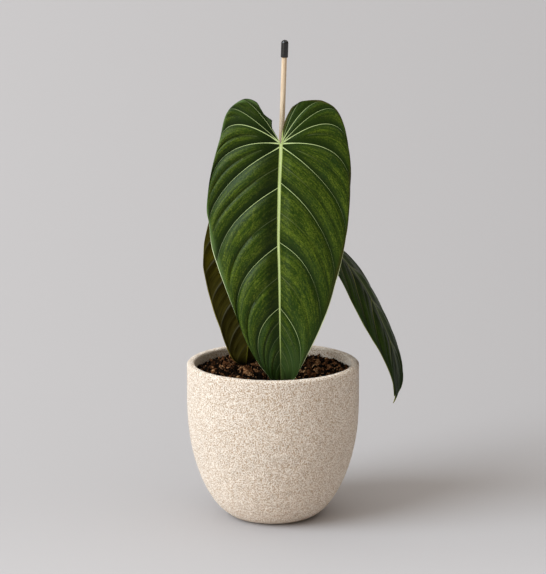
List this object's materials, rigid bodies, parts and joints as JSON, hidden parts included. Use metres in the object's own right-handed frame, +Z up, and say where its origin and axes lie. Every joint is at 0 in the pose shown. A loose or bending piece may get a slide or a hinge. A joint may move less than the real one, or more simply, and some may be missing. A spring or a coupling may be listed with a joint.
{
  "type": "potted foliage plant",
  "caption": "Potted climbing foliage plant: long heart-shaped velvety leaves with pale veins hang from slim stalks beside a capped support stick, in a rounded speckled stoneware pot of soil.",
  "frame": {"origin": "centre of the pot's flat underside, on the surface it stands on", "axes": "+Z up along the pot's axis; -Y towards the front leaf's face; +X to the right of that view"},
  "size_m": [0.1766, 0.1404, 0.388],
  "materials": {
    "stoneware": "matte cream stoneware with fine brown speckle",
    "soil": null,
    "wood": "bare pale wood, fine straight grain",
    "cap_rubber": "smooth black rubber, soft shine",
    "stalk": null,
    "leaf": null,
    "young_leaf": null
  },
  "bodies": {
    "root": {"pot": "stoneware", "soil": "soil", "stake": "wood", "stake_cap": "cap_rubber", "stem": "stalk", "petiole_front": "stalk", "petiole_back": "stalk", "petiole_right": "stalk", "leaf_front": "leaf", "leaf_back": "young_leaf", "leaf_right": "young_leaf"}
  },
  "joints": []
}
